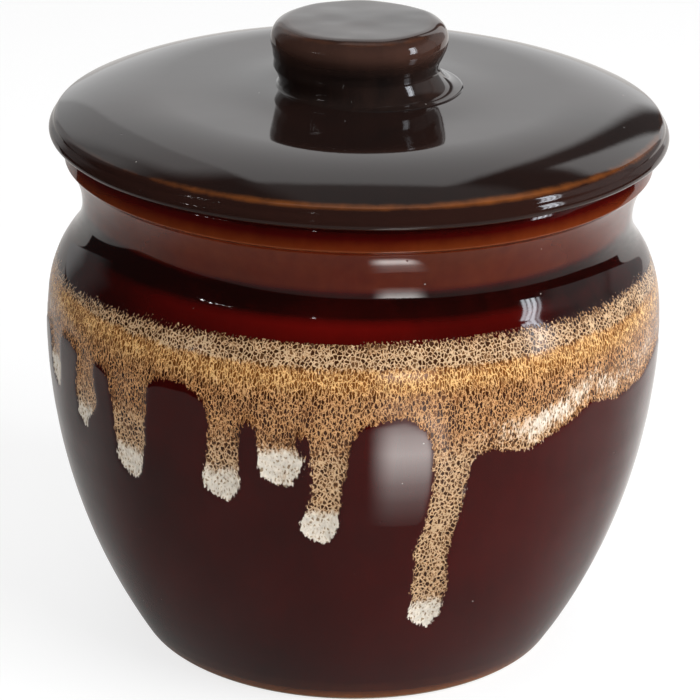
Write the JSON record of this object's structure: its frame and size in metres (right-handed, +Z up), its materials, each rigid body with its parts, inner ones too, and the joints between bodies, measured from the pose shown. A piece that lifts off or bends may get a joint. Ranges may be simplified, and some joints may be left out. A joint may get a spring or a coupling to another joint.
{
  "type": "lidded jar",
  "caption": "Round glazed stoneware jar with a waisted neck and a loose domed lid that has a knob on top and a locating ring below.",
  "frame": {"origin": "centre of the plane that the foot ring rests on", "axes": "+Z up the axis of the jar and lid, -Y towards the side that the picture shows"},
  "size_m": [0.142, 0.142, 0.1452],
  "materials": {
    "glazed_body": "gloss",
    "glazed_lid": "gloss",
    "glazed_knob": "gloss"
  },
  "bodies": {
    "jar": {"jar_body": "glazed_body"},
    "lid": {"lid": "glazed_lid", "lid_knob": "glazed_knob"}
  },
  "joints": [
    {"name": "lid_lift", "type": "slide", "parent": "jar", "child": "lid", "axis": [0, 0, 1], "range_m": [0, 0.08]}
  ]
}
